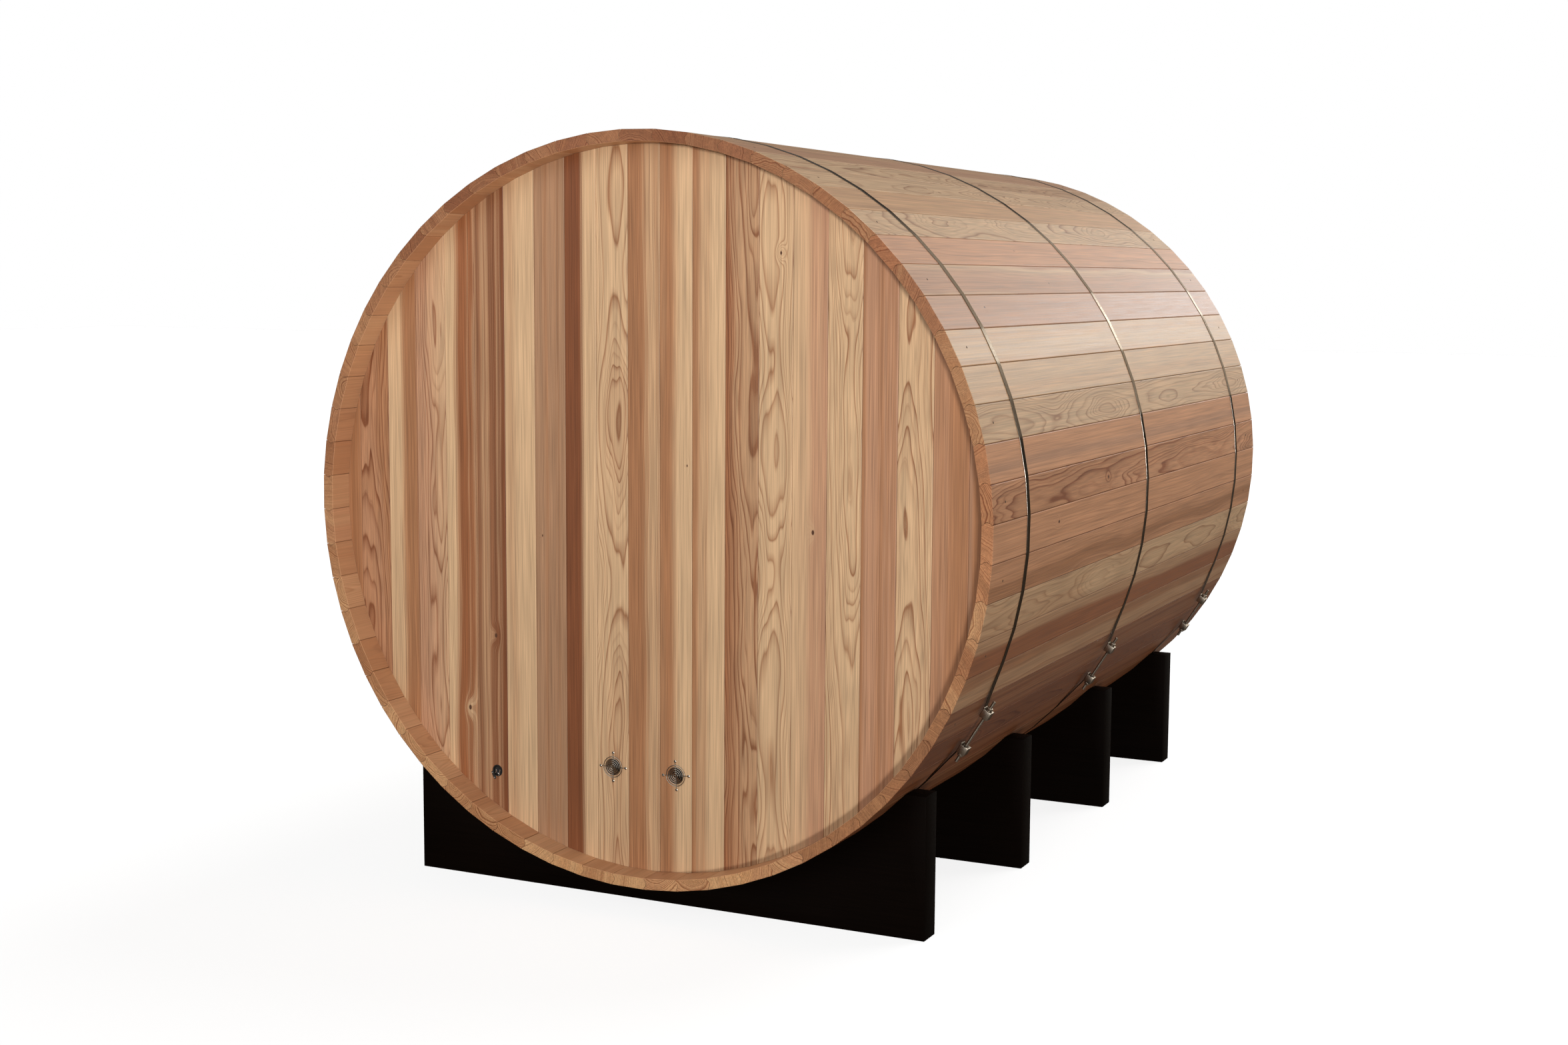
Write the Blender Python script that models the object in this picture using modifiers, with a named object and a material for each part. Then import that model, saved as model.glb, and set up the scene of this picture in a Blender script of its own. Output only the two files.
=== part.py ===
"""Outdoor barrel sauna: a drum of cedar staves lying on four black cradles.

Metres, +Z up. The barrel's axis runs along Y, its vented heater end faces -Y,
and the origin is on the ground under the middle of the barrel.
"""
import math

import bmesh
import bpy
from mathutils import Matrix, Vector

# ---- driving dimensions -------------------------------------------------
barrel_radius = 0.905          # to the outer corners of the staves
barrel_length = 2.438          # eight-foot staves
stave_thickness = 0.028
stave_count = 64
staves_per_panel = 2
first_joint_deg = 1.90         # where one stave joint sits on the +X side
bead_rise = 0.0055             # how far the rounded edge stands past the joint line
outer_land = 0.0050            # straight part of the joint at the outer face
inner_land = 0.0035            # and at the inner face
joint_gap = 0.0004

wall_thickness = 0.038
wall_recess = 0.068            # the staves run this far past each end wall
board_pitch = 0.0872           # boards of the end walls, used to place the vents
board_edge = 0.0370            # one board edge, right of the centre line

vent_hole_diameter = 0.042
vent_drop_share = 0.695        # vents below the barrel's axis, as a share of its radius
vent_step = 0.003              # the right vent sits this much lower
port_hole_diameter = 0.030
port_offset_share = -0.4757
port_drop_share = 0.7458
port_gland_depth = 0.030
port_gland_recess = 0.002

barrel_lift = 0.069            # ground to the lowest stave corner
cradle_wrap_deg = 43.9         # the scoop ends this far below the barrel's axis
cradle_horn_width = 0.052      # flat top of each horn
cradle_thickness = 0.067
cradle_spots = (0.0680, 0.3478, 0.6434, 0.9075)    # middles, as shares of the length
band_groove_clearance = 0.003

band_width = 0.020
band_thickness = 0.0010
band_spots = (0.0960, 0.4967, 0.9040)              # middles, as shares of the length
tension_deg = -31.8            # where the tensioners sit on the +X side
tension_spread_deg = 3.25      # half the angle between a tensioner's two blocks
block_size = 0.021
block_width = 0.026
block_standoff = 0.0068        # block above the circle of the stave corners
rod_diameter = 0.0075
rod_past_upper = 0.036         # rod beyond the upper block's middle
rod_past_lower = 0.036         # and beyond the lower one's
nut_across_flats = 0.0130
nut_height = 0.0065
washer_diameter = 0.0170
washer_thickness = 0.0016

guard_ring_radii = (0.0255, 0.0202, 0.0156, 0.0110, 0.0064)
guard_wire = 0.0018
guard_lug_spacing = 0.0700
guard_lug_diameter = 0.0065
guard_turns_deg = (0.0, 3.3)

gap = 0.0003

# ---- sizes that follow --------------------------------------------------
stave_angle = 2 * math.pi / stave_count
half_stave = stave_angle / 2
first_joint = math.radians(first_joint_deg)
flat_radius = barrel_radius * math.cos(half_stave)
inner_flat = flat_radius - stave_thickness
inner_radius = inner_flat / math.cos(half_stave)
axis_height = barrel_lift + barrel_radius
vent_drop = vent_drop_share * barrel_radius
port_offset = port_offset_share * barrel_radius
port_drop = port_drop_share * barrel_radius
heater_end = -barrel_length / 2
panel_count = stave_count // staves_per_panel
cradle_middles = tuple(heater_end + share * barrel_length for share in cradle_spots)
band_middles = tuple(heater_end + share * barrel_length for share in band_spots)
block_middle = barrel_radius + block_standoff + block_size / 2
tension_angle = math.radians(tension_deg)
block_offset = block_middle * math.tan(math.radians(tension_spread_deg))


def clear_file():
    for thing in list(bpy.data.objects):
        bpy.data.objects.remove(thing, do_unlink=True)


def new_collection(name):
    group = bpy.data.collections.new(name)
    bpy.context.scene.collection.children.link(group)
    return group


def new_material(name, colour, roughness, metallic):
    finish = bpy.data.materials.new(name)
    finish.use_nodes = True
    shader = finish.node_tree.nodes["Principled BSDF"]
    shader.inputs["Base Color"].default_value = (*colour, 1.0)
    shader.inputs["Roughness"].default_value = roughness
    shader.inputs["Metallic"].default_value = metallic
    finish.diffuse_color = (*colour, 1.0)
    return finish


def mesh_object(name, shape, group, finish=None):
    """Turn a finished bmesh into an object of its own."""
    mesh = bpy.data.meshes.new(name)
    bmesh.ops.recalc_face_normals(shape, faces=shape.faces)
    shape.to_mesh(mesh)
    shape.free()
    thing = bpy.data.objects.new(name, mesh)
    group.objects.link(thing)
    if finish:
        mesh.materials.append(finish)
    return thing


def box(name, size, group, finish=None):
    shape = bmesh.new()
    bmesh.ops.create_cube(shape, size=1.0, matrix=Matrix.Diagonal((*size, 1.0)))
    return mesh_object(name, shape, group, finish)


def cylinder(name, radius, length, sides, group, finish=None):
    """A closed cylinder about the object's own Z axis."""
    shape = bmesh.new()
    bmesh.ops.create_cone(
        shape, cap_ends=True, segments=sides, radius1=radius, radius2=radius, depth=length
    )
    return mesh_object(name, shape, group, finish)


def outline_solid(name, points, thickness, group, finish=None):
    """A flat outline in the XZ plane, extruded along Y about its own middle."""
    curve = bpy.data.curves.new(name, "CURVE")
    curve.dimensions = "2D"
    curve.fill_mode = "BOTH"
    curve.extrude = thickness / 2
    line = curve.splines.new("POLY")
    line.points.add(len(points) - 1)
    for spot, (across, up) in zip(line.points, points):
        spot.co = (across, up, 0.0, 1.0)
    line.use_cyclic_u = True
    guide = bpy.data.objects.new(name + "_outline", curve)
    group.objects.link(guide)
    bpy.context.view_layer.update()
    settled = guide.evaluated_get(bpy.context.evaluated_depsgraph_get())
    mesh = bpy.data.meshes.new_from_object(settled)
    shape = bmesh.new()
    shape.from_mesh(mesh)
    bmesh.ops.remove_doubles(shape, verts=shape.verts, dist=0.00002)
    bmesh.ops.transform(shape, matrix=Matrix.Rotation(math.pi / 2, 4, "X"), verts=shape.verts)
    bpy.data.objects.remove(guide, do_unlink=True)
    bpy.data.meshes.remove(mesh)
    return mesh_object(name, shape, group, finish)


def cut(thing, cutter):
    cutter.hide_render = True
    cutter.display_type = "WIRE"
    knife = thing.modifiers.new("cut_" + cutter.name, "BOOLEAN")
    knife.operation = "DIFFERENCE"
    knife.solver = "EXACT"
    knife.object = cutter


def join_to(thing, addition):
    addition.hide_render = True
    addition.display_type = "WIRE"
    weld = thing.modifiers.new("join_" + addition.name, "BOOLEAN")
    weld.operation = "UNION"
    weld.solver = "EXACT"
    weld.object = addition


def round_smooth(thing, limit_deg=40):
    thing.data.shade_smooth()
    thing.data.set_sharp_from_angle(angle=math.radians(limit_deg))


# ---- the drum of staves -------------------------------------------------
def joint_line(angle, shift):
    """The bead-and-cove line between two staves, from the outer to the inner face."""
    outward = (math.cos(angle), math.sin(angle))
    onward = (-math.sin(angle), math.cos(angle))
    outer = barrel_radius - outer_land
    inner = inner_radius + inner_land
    chord = outer - inner
    bend = (chord * chord / 4 + bead_rise * bead_rise) / (2 * bead_rise)
    points = [(barrel_radius, 0.0)]
    for step in range(7):
        along = outer - chord * step / 6
        reach = bend * bend - (along - (outer + inner) / 2) ** 2
        points.append((along, math.sqrt(reach) - (bend - bead_rise)))
    points.append((inner_radius, 0.0))
    return [
        (
            outward[0] * along + onward[0] * (rise + shift),
            outward[1] * along + onward[1] * (rise + shift),
        )
        for along, rise in points
    ]


def stave_panel(number, group, finish):
    """A pair of staves side by side, running the whole length of the barrel."""
    start = first_joint + number * staves_per_panel * stave_angle
    stop = start + staves_per_panel * stave_angle
    outline = []
    for step in range(1, staves_per_panel):
        angle = start + step * stave_angle
        outline.append((barrel_radius * math.cos(angle), barrel_radius * math.sin(angle)))
    outline.extend(joint_line(stop, 0.0))
    for step in range(1, staves_per_panel):
        angle = stop - step * stave_angle
        outline.append((inner_radius * math.cos(angle), inner_radius * math.sin(angle)))
    outline.extend(reversed(joint_line(start, joint_gap)))
    name = "stave_panel_{:02d}".format(number + 1)
    panel = outline_solid(name, outline, barrel_length, group, finish)
    panel.location = (0.0, 0.0, axis_height)
    return panel


# ---- end walls ----------------------------------------------------------
def end_wall(name, middle_y, group, finish):
    """A many-sided board wall that fills the drum just inside its rim."""
    radius = (inner_flat - gap) / math.cos(half_stave)
    wall = cylinder(name, radius, wall_thickness, stave_count, group, finish)
    corner = wall.data.vertices[0].co
    first_corner = math.atan2(corner.y, corner.x)
    # the disc is tipped up to face along Y, then turned until its corners meet the joints
    turn = Matrix.Rotation(first_joint - first_corner, 4, "Z")
    tip = Matrix.Rotation(math.pi / 2, 4, "X")
    wall.data.transform(tip @ turn)
    wall.location = (0.0, middle_y, axis_height)
    return wall


def vent_places():
    """The two vents sit in the middle of two boards, one board apart."""
    right = board_edge + board_pitch / 2
    left = right - 2 * board_pitch
    height = axis_height - vent_drop
    return ((left, height), (right, height - vent_step))


def drill(wall, name, across, up, diameter, cutters):
    bit = cylinder(name, diameter / 2, wall_thickness * 3, 32, cutters)
    bit.rotation_euler = (math.pi / 2, 0.0, 0.0)
    bit.location = (across, wall.location.y, up)
    cut(wall, bit)


def vent_guard(number, across, up, outer_face, group, cutters, finish):
    """A round wire grille: rings on two crossing wires, with a flat lug at each tip."""
    name = "vent_guard_{}".format(number)
    height = outer_face - gap - guard_wire / 2
    turn = math.radians(guard_turns_deg[number - 1])
    guard = wire_ring(name, guard_ring_radii[0], group, finish)
    guard.location = (across, height, up)
    for count, radius in enumerate(guard_ring_radii[1:]):
        ring = wire_ring("{}_ring_{}".format(name, count + 2), radius, cutters)
        ring.location = guard.location
        join_to(guard, ring)
    for arm in range(2):
        angle = turn + arm * math.pi / 2
        label = "{}_wire_{}".format(name, arm + 1)
        size = (guard_lug_spacing, guard_wire * 0.94, guard_wire * 0.94)
        wire = box(label, size, cutters)
        wire.location = guard.location
        wire.rotation_euler = (0.0, -angle, 0.0)
        join_to(guard, wire)
        for side in (-1, 1):
            lug = cylinder(
                "{}_lug_{}_{}".format(name, arm + 1, side),
                guard_lug_diameter / 2, guard_wire * 0.9, 12, cutters,
            )
            reach = side * guard_lug_spacing / 2
            lug.rotation_euler = (math.pi / 2, 0.0, 0.0)
            lug.location = (
                across + reach * math.cos(angle), height, up + reach * math.sin(angle)
            )
            join_to(guard, lug)
    return guard


def wire_ring(name, radius, group, finish=None):
    shape = bmesh.new()
    bmesh.ops.create_circle(
        shape, cap_ends=False, segments=6, radius=guard_wire / 2,
        matrix=Matrix.Translation((radius, 0, 0)) @ Matrix.Rotation(math.pi / 2, 4, "X"),
    )
    bmesh.ops.spin(
        shape, geom=shape.verts[:] + shape.edges[:], cent=(0, 0, 0), axis=(0, 0, 1),
        dvec=(0, 0, 0), angle=2 * math.pi, steps=12 + round(500 * radius),
        use_merge=True, use_duplicate=False,
    )
    bmesh.ops.remove_doubles(shape, verts=shape.verts, dist=0.00002)
    bmesh.ops.transform(shape, matrix=Matrix.Rotation(math.pi / 2, 4, "X"), verts=shape.verts)
    return mesh_object(name, shape, group, finish)


def port_gland(outer_face, group, finish):
    """The black rubber gland that fills the cable hole, set a little way in."""
    radius = port_hole_diameter / 2 - gap
    gland = cylinder("cable_port_gland", radius, port_gland_depth, 32, group, finish)
    gland.rotation_euler = (math.pi / 2, 0.0, 0.0)
    gland.location = (
        port_offset, outer_face + port_gland_recess + port_gland_depth / 2,
        axis_height - port_drop,
    )
    return gland


# ---- cradles ------------------------------------------------------------
def cradle(number, middle, group, cutters, finish):
    """A plank on edge, its top scooped to the barrel and its two horns cut level."""
    scoop = barrel_radius + gap
    wrap = math.radians(cradle_wrap_deg)
    half = scoop * math.cos(wrap) + cradle_horn_width
    top = axis_height - scoop * math.sin(wrap)
    steps = 40
    outline = [(-half, 0.0), (half, 0.0), (half, top)]
    for step in range(steps + 1):
        angle = -wrap - (math.pi - 2 * wrap) * step / steps
        outline.append((scoop * math.cos(angle), axis_height + scoop * math.sin(angle)))
    outline.append((-half, top))
    name = "cradle_{}".format(number)
    plank = outline_solid(name, outline, cradle_thickness, group, finish)
    plank.location = (0.0, middle, 0.0)
    for band_middle in band_middles:
        away = abs(band_middle - middle)
        if away < (cradle_thickness + band_width + band_groove_clearance) / 2 + gap:
            relieve_for_band(plank, number, band_middle, cutters)
    return plank


def relieve_for_band(plank, number, band_y, cutters):
    """A shallow groove across the scoop where a band passes under the barrel."""
    deep = barrel_radius + band_thickness + band_groove_clearance / 2
    wide = band_width + band_groove_clearance
    groove = cylinder("band_groove_{}".format(number), deep, wide, 128, cutters)
    groove.rotation_euler = (math.pi / 2, 0.0, 0.0)
    groove.location = (0.0, band_y, axis_height)
    cut(plank, groove)


# ---- bands and tensioners -----------------------------------------------
def around(radius, angle):
    return (radius * math.cos(angle), axis_height + radius * math.sin(angle))


def along_rod(outward, forward):
    """A point by the tensioner: distance from the axis, and distance up along the rod."""
    across = outward * math.cos(tension_angle) - forward * math.sin(tension_angle)
    up = outward * math.sin(tension_angle) + forward * math.cos(tension_angle)
    return (across, axis_height + up)


def turns_left(first, second, third):
    return (second[0] - first[0]) * (third[1] - second[1]) > (
        (second[1] - first[1]) * (third[0] - second[0])
    )


def band_path():
    """From under the upper block, over the barrel and round to the lower block."""
    under = barrel_radius + block_standoff - gap - band_thickness
    far = block_offset + block_size / 2
    near = block_offset - block_size / 2
    start = along_rod(under, far)
    stop = along_rod(under, -far)
    tilt = math.atan2(far, under)
    wrap = []
    for joint in range(-stave_count, 2 * stave_count):
        angle = first_joint + joint * stave_angle
        if tension_angle + tilt < angle < tension_angle - tilt + 2 * math.pi:
            wrap.append(around(barrel_radius + gap, angle))
    while not turns_left(start, wrap[0], wrap[1]):
        wrap.pop(0)
    while not turns_left(wrap[-2], wrap[-1], stop):
        wrap.pop()
    return [along_rod(under, near), start] + wrap + [stop, along_rod(under, -near)]


def band(number, middle, group, finish):
    """A steel strip that follows the staves' corners and ends under its tension blocks."""
    shape = bmesh.new()
    row = [shape.verts.new((across, -band_width / 2, up)) for across, up in band_path()]
    edges = [shape.edges.new(pair) for pair in zip(row[:-1], row[1:])]
    pulled = bmesh.ops.extrude_edge_only(shape, edges=edges)
    moved = [part for part in pulled["geom"] if isinstance(part, bmesh.types.BMVert)]
    bmesh.ops.translate(shape, verts=moved, vec=(0.0, band_width, 0.0))
    shape.normal_update()
    axis = Vector((0.0, 0.0, axis_height))
    if sum(face.normal.dot(face.calc_center_median() - axis) for face in shape.faces) < 0:
        bmesh.ops.reverse_faces(shape, faces=shape.faces)
    name = "band_{}".format(number)
    mesh = bpy.data.meshes.new(name)
    shape.to_mesh(mesh)
    shape.free()
    mesh.materials.append(finish)
    strip = bpy.data.objects.new(name, mesh)
    group.objects.link(strip)
    strip.location = (0.0, middle, 0.0)
    thick = strip.modifiers.new("strip_thickness", "SOLIDIFY")
    thick.thickness = band_thickness
    thick.offset = 1.0
    thick.use_even_offset = True
    return strip


def tension_block(name, middle, side, group, cutters, finish):
    """A square steel block, drilled for the rod, that a band end wraps round."""
    block = box(name, (block_size, block_width, block_size), group, finish)
    across, up = along_rod(block_middle, side * block_offset)
    block.rotation_euler = (0.0, -tension_angle, 0.0)
    block.location = (across, middle, up)
    hole = cylinder(name + "_hole", rod_diameter / 2 + gap, block_size * 3, 24, cutters)
    hole.rotation_euler = block.rotation_euler
    hole.location = block.location
    cut(block, hole)
    return block


def tension_rod(number, middle, group, cutters, finish):
    """A threaded rod through both blocks, with a nut and washer on each outer face."""
    upper = block_offset + rod_past_upper
    lower = -block_offset - rod_past_lower
    name = "tension_rod_{}".format(number)
    rod = cylinder(name, rod_diameter / 2, upper - lower, 16, group, finish)
    rod.rotation_euler = (0.0, -tension_angle, 0.0)
    across, up = along_rod(block_middle, (upper + lower) / 2)
    rod.location = (across, middle, up)
    for side in (-1, 1):
        face = block_offset + block_size / 2 + gap
        add_round(rod, "washer", side, face + washer_thickness / 2,
                  washer_diameter / 2, washer_thickness, 24, middle, number, cutters)
        seat = face + washer_thickness - gap + nut_height / 2
        add_round(rod, "nut", side, seat,
                  nut_across_flats / math.sqrt(3), nut_height, 6, middle, number, cutters)
    return rod


def add_round(rod, kind, side, distance, radius, height, sides, middle, number, cutters):
    label = "{}_{}_{}".format(kind, number, "upper" if side > 0 else "lower")
    piece = cylinder(label, radius, height, sides, cutters)
    across, up = along_rod(block_middle, side * distance)
    piece.rotation_euler = (0.0, -tension_angle, 0.0)
    piece.location = (across, middle, up)
    join_to(rod, piece)


# ---- the whole sauna ----------------------------------------------------
def build():
    clear_file()
    sauna = new_collection("barrel_sauna")
    cutters = new_collection("cutters")
    cedar = new_material("cedar_staves", (0.62, 0.40, 0.24), 0.62, 0.0)
    wall_cedar = new_material("cedar_wall_boards", (0.60, 0.38, 0.21), 0.62, 0.0)
    black = new_material("black_stain", (0.022, 0.019, 0.017), 0.6, 0.0)
    steel = new_material("stainless_strip", (0.60, 0.58, 0.55), 0.3, 1.0)
    bolt_steel = new_material("stainless_fixings", (0.62, 0.59, 0.55), 0.25, 1.0)
    black_rubber = new_material("black_rubber", (0.03, 0.03, 0.03), 0.55, 0.0)

    for number in range(panel_count):
        stave_panel(number, sauna, cedar)

    rear_face = heater_end + wall_recess
    rear = end_wall("rear_wall", rear_face + wall_thickness / 2, sauna, wall_cedar)
    end_wall("front_wall", -rear_face - wall_thickness / 2, sauna, wall_cedar)
    for count, (across, up) in enumerate(vent_places()):
        drill(rear, "vent_hole_{}".format(count + 1), across, up, vent_hole_diameter, cutters)
        vent_guard(count + 1, across, up, rear_face, sauna, cutters, bolt_steel)
    drill(rear, "cable_port_hole", port_offset, axis_height - port_drop,
          port_hole_diameter, cutters)
    port_gland(rear_face, sauna, black_rubber)

    for count, middle in enumerate(cradle_middles):
        cradle(count + 1, middle, sauna, cutters, black)

    for count, middle in enumerate(band_middles):
        band(count + 1, middle, sauna, steel)
        upper_name = "upper_tension_block_{}".format(count + 1)
        lower_name = "lower_tension_block_{}".format(count + 1)
        tension_block(upper_name, middle, 1, sauna, cutters, bolt_steel)
        tension_block(lower_name, middle, -1, sauna, cutters, bolt_steel)
        tension_rod(count + 1, middle, sauna, cutters, bolt_steel)

    for thing in sauna.objects:
        if thing.name.startswith(("tension_rod", "vent_guard", "cable_port")):
            round_smooth(thing)


build()
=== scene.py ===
import math
import random

import bmesh
import bpy
import numpy as np
from mathutils import Matrix, Vector


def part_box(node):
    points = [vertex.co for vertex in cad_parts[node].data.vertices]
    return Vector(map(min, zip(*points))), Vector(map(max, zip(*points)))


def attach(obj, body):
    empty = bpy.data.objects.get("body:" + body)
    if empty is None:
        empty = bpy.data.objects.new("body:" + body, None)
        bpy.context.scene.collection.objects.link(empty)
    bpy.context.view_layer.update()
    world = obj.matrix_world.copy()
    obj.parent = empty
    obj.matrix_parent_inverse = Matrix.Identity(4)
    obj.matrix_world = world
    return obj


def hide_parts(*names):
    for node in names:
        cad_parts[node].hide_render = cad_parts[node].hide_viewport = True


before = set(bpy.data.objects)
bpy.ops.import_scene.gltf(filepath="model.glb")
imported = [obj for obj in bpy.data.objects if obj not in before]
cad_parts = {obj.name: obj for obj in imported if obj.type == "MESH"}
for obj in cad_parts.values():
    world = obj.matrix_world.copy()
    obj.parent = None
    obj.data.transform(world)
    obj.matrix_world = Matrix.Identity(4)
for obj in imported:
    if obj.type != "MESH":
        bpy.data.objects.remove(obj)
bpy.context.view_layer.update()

# ------------------------------------
# The studio. A pale floor, a soft light level in front on the right, weaker ones
# from the front and from above, and two lamps far behind that lay a sheen on the
# staves and a glint on the bands. Only the camera sees room and floor as white.
# ------------------------------------
scene = bpy.context.scene
scene.view_settings.view_transform = "Standard"
room_glow = 0.20
front_light_from = Vector((0.47, -0.88, 0.00))
fill_light_from = Vector((-0.15, -0.90, 0.40))
top_light_from = Vector((0.35, 0.55, 0.76))
lamp_aim = Vector((0.6, 0.0, 1.4))
warm_white, cool_white = (1.0, 0.93, 0.84), (0.85, 0.93, 1.0)
floor_size = 80.0
sheen_lamp_spot, sheen_lamp_size = Vector((2.5, 13.0, 5.0)), (6.0, 6.0)
glint_lamp_spot, glint_lamp_size = Vector((3.05, 12.4, 4.55)), (2.1, 1.1)


def soft_light(name, source, strength, spread):
    """A far, broad light shining from a direction."""
    bpy.ops.object.light_add(type="SUN", location=source * 8)
    light = bpy.context.object
    light.name = name
    light.data.energy = strength
    light.data.angle = math.radians(spread)
    light.rotation_euler = source.to_track_quat("Z", "Y").to_euler()


soft_light("front_light", front_light_from, 2.70, 8)
soft_light("fill_light", fill_light_from, 0.92, 50)
soft_light("top_light", top_light_from, 1.15, 30)


def soft_lamp(name, spot, size, watts, colour):
    """A softbox turned to the drum."""
    bpy.ops.object.light_add(type="AREA", location=spot)
    lamp = bpy.context.object
    lamp.name = name
    lamp.data.shape = "RECTANGLE"
    lamp.data.size, lamp.data.size_y = size
    lamp.data.energy = watts
    lamp.data.color = colour
    lamp.rotation_euler = (lamp_aim - spot).to_track_quat("-Z", "Y").to_euler()


soft_lamp("sheen_lamp", sheen_lamp_spot, sheen_lamp_size, 215, warm_white)
soft_lamp("glint_lamp", glint_lamp_spot, glint_lamp_size, 105, cool_white)


def feed(tree, socket, value):
    """Link an output to a socket, or set the socket to a plain value."""
    if isinstance(value, bpy.types.NodeSocket):
        tree.links.new(value, socket)
    elif value is not None:
        socket.default_value = value


def add(tree, kind, *values, **settings):
    """A new node whose inputs take the values in order."""
    made = tree.nodes.new(kind)
    for name, value in settings.items():
        setattr(made, name, value)
    for socket, value in zip(made.inputs, values):
        feed(tree, socket, value)
    return made


room = bpy.data.worlds.new("white_room")
scene.world = room
room.use_nodes = True
walls = room.node_tree
walls.nodes.clear()
seen_straight = add(walls, "ShaderNodeLightPath").outputs["Is Camera Ray"]
dim = add(walls, "ShaderNodeBackground", (1.0, 0.96, 0.91, 1.0), room_glow).outputs[0]
white = add(walls, "ShaderNodeBackground", (1.0, 1.0, 1.0, 1.0), 1.0).outputs[0]
both = add(walls, "ShaderNodeMixShader", seen_straight, dim, white).outputs[0]
add(walls, "ShaderNodeOutputWorld", both)

bpy.ops.mesh.primitive_plane_add(size=floor_size, location=(0.0, 0.0, 0.0))
floor = bpy.context.object
floor.name = "studio_floor"
paint = bpy.data.materials.new("pale_floor_paint")
paint.use_nodes = True
coat = paint.node_tree
coat.nodes.clear()
straight = add(coat, "ShaderNodeLightPath").outputs["Is Camera Ray"]
clear = add(coat, "ShaderNodeBsdfTransparent", (0.86, 0.86, 0.86, 1.0)).outputs[0]
chalk = add(coat, "ShaderNodeBsdfDiffuse", (0.30, 0.30, 0.30, 1.0)).outputs[0]
grey = add(coat, "ShaderNodeBsdfDiffuse", (0.34, 0.30, 0.26, 1.0)).outputs[0]
lit = add(coat, "ShaderNodeAddShader", clear, chalk).outputs[0]
laid = add(coat, "ShaderNodeMixShader", straight, grey, lit).outputs[0]
add(coat, "ShaderNodeOutputMaterial", laid)
floor.data.materials.append(paint)

camera_spot = Vector((2.4541, -5.514, 1.5420))
camera_turn, camera_tip, camera_roll = map(math.radians, (25.5798, -6.7042, 0.3592))
bpy.ops.object.camera_add(location=camera_spot)
camera = bpy.context.object
camera.name = "studio_camera"
camera.data.sensor_width = 36.0
camera.data.lens = 48.199
camera.rotation_mode = "QUATERNION"
camera.rotation_quaternion = (
    Matrix.Rotation(camera_turn, 3, "Z")
    @ Matrix.Rotation(math.pi / 2 + camera_tip, 3, "X")
    @ Matrix.Rotation(camera_roll, 3, "Z")
).to_quaternion()
scene.camera = camera

# ------------------------------------
# The staves. The drum is 64 planks of clear western cedar, 28 mm thick. Each
# has a rounded bead down one edge and a matching cove down the other, so that
# it nests into its neighbour, and its corners are eased to a small V.
# ------------------------------------
wall_low, wall_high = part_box("rear_wall")
stave_low, stave_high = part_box("stave_panel_01")
axis_height = (wall_low.z + wall_high.z) / 2
barrel_radius = 0.905
barrel_length = stave_high.y - stave_low.y
stave_count = 64
stave_turn = 2 * math.pi / stave_count
first_joint = math.radians(1.90)
stave_thickness = 0.028
joint_gap = 0.0011
bead_rise = 0.0055
bead_rows = 8
hair = 0.00001
outer_land, inner_land = 0.0050, 0.0035
outer_ease, inner_ease = 0.0018, 0.0006
end_trim = 0.0010
outer_flat = barrel_radius * math.cos(stave_turn / 2)
inner_flat = outer_flat - stave_thickness
outer_half = barrel_radius * math.sin(stave_turn / 2) - joint_gap / 2
inner_half = inner_flat * math.tan(stave_turn / 2) - joint_gap / 2
axis = Vector((0.0, 0.0, axis_height))


def pick(piece):
    """Select one piece alone."""
    bpy.ops.object.select_all(action="DESELECT")
    piece.select_set(True)
    bpy.context.view_layer.objects.active = piece


def edit(piece):
    """Open one piece alone in edit mode, with nothing selected."""
    pick(piece)
    bpy.ops.object.mode_set(mode="EDIT")
    bpy.ops.mesh.select_all(action="DESELECT")


def choose(kind, test):
    """Select the corners, edges or faces that the test picks."""
    bpy.ops.mesh.select_all(action="DESELECT")
    bpy.ops.mesh.select_mode(type=kind)
    shape = bmesh.from_edit_mesh(bpy.context.object.data)
    shape.normal_update()
    parts = {"VERT": shape.verts, "EDGE": shape.edges, "FACE": shape.faces}[kind]
    for part in [part for part in parts if test(part)]:
        part.select_set(True)
    shape.select_flush_mode()
    bmesh.update_edit_mesh(bpy.context.object.data)


def done():
    """Leave edit mode."""
    bpy.ops.object.mode_set(mode="OBJECT")


def settle(piece):
    """Put the object's place into its mesh."""
    pick(piece)
    bpy.ops.object.transform_apply(location=True, rotation=True, scale=True)


def block_of(name, middle, size):
    """A rough sawn block, ready to be shaped."""
    bpy.ops.object.select_all(action="DESELECT")
    bpy.ops.mesh.primitive_cube_add(size=1.0, location=middle, scale=size)
    piece = bpy.context.object
    piece.name = name
    piece.data.name = name
    settle(piece)
    return piece


def copy_of(piece, name):
    """A second piece like this one, with a mesh of its own."""
    twin = piece.copy()
    twin.data = piece.data.copy()
    twin.name = name
    twin.data.name = name
    scene.collection.objects.link(twin)
    return twin


def shade(piece, degrees=28):
    """Shade a piece smooth but for the edges sharper than an angle."""
    pick(piece)
    bpy.ops.object.shade_smooth_by_angle(angle=math.radians(degrees))


def join(name, parts):
    """One piece out of several."""
    bpy.ops.object.select_all(action="DESELECT")
    for part in parts:
        part.select_set(True)
    bpy.context.view_layer.objects.active = parts[0]
    bpy.ops.object.join()
    parts[0].name = name
    parts[0].data.name = name
    return parts[0]


def along(edge, side):
    """How far an edge runs in a direction, as a share of its length."""
    line = edge.verts[1].co - edge.verts[0].co
    return abs(line.dot(side)) / max(line.length, 1e-9)


def middle_of(edge):
    """The middle of an edge."""
    return (edge.verts[0].co + edge.verts[1].co) / 2


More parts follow.
